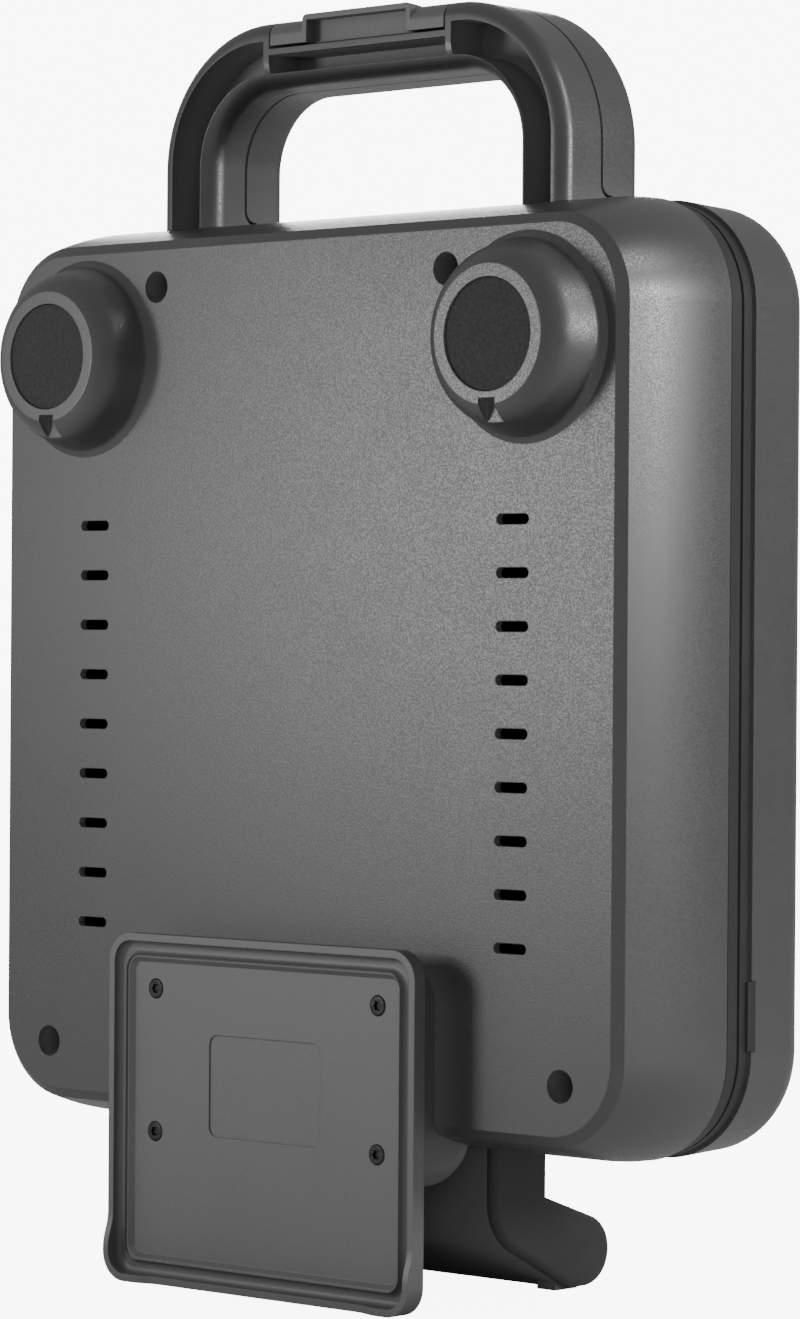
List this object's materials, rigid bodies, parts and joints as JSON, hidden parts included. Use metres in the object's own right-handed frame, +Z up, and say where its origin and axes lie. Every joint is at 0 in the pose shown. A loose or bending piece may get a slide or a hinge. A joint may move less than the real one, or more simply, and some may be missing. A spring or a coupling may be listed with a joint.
{
  "type": "breakfast sandwich maker",
  "caption": "Dark grey clamshell sandwich maker standing on end: vented base with two front feet, rear foot plate, loop handle, top latch, dark hinge housing, lid.",
  "frame": {"origin": "middle of the bounding box, on the surface it stands on", "axes": "+Z up with the handle at the top, +X across the width, -Y out of the vented underside, +Y out of the lid"},
  "size_m": [0.26, 0.097, 0.3765],
  "materials": {
    "shell_grey": "fine grained satin",
    "latch_grey": "satin",
    "bezel_black": "matte",
    "hinge_black": "matte",
    "foot_rubber": "matte",
    "gland_rubber": "matte",
    "cooking_plate": "dark non-stick coating on cast aluminium",
    "heater_steel": "heat-tinted",
    "reflector_sheet": "bright aluminised sheet",
    "spring_steel": "bright",
    "black_steel": "blackened",
    "pin_steel": "ground",
    "thermostat_can": "ceramic look",
    "fuse_sleeve": "glazed",
    "terminal_plastic": "matte",
    "wire_cover": "matte",
    "bush_nylon": "matte",
    "red_lens": "clear tinted",
    "green_lens": "clear tinted",
    "board_laminate": "solder mask"
  },
  "bodies": {
    "base": {"base_shell": "shell_grey", "front_foot_pads": "foot_rubber", "base_bezel": "bezel_black", "base_screws": "black_steel", "lower_plate": "cooking_plate", "lower_element": "heater_steel", "lower_reflector": "reflector_sheet", "lower_plate_clips": "spring_steel", "thermostat": "thermostat_can", "thermal_fuse": "fuse_sleeve", "terminal_block": "terminal_plastic", "cord_gland": "gland_rubber", "base_wiring": "wire_cover", "base_handle": "shell_grey", "rear_foot_neck": "shell_grey", "rear_foot_plate": "shell_grey", "foot_plate_screws": "black_steel", "hinge_housing": "hinge_black", "housing_screws": "black_steel", "hinge_pin": "pin_steel", "hinge_cheeks": "hinge_black"},
    "lid": {"lid_shell": "shell_grey", "lid_bezel": "bezel_black", "lid_screws": "black_steel", "lid_handle": "shell_grey", "lid_hinge_arm": "hinge_black", "hinge_bushes": "bush_nylon", "upper_plate": "cooking_plate", "upper_element": "heater_steel", "upper_reflector": "reflector_sheet", "upper_plate_clips": "spring_steel", "power_light_lens": "red_lens", "ready_light_lens": "green_lens", "light_board": "board_laminate", "lid_wiring": "wire_cover", "latch_pin": "pin_steel"},
    "latch": {"latch_clip": "latch_grey"}
  },
  "joints": [
    {"name": "lid_hinge", "type": "hinge", "parent": "base", "child": "lid", "pos_m": [0, 0.03803, 0.011], "axis": [-1, 0, 0], "range_deg": [0, 90]},
    {"name": "latch_hinge", "type": "hinge", "parent": "lid", "child": "latch", "pos_m": [0, 0.01852, 0.3715], "axis": [-1, 0, 0], "range_deg": [0, 80]}
  ]
}
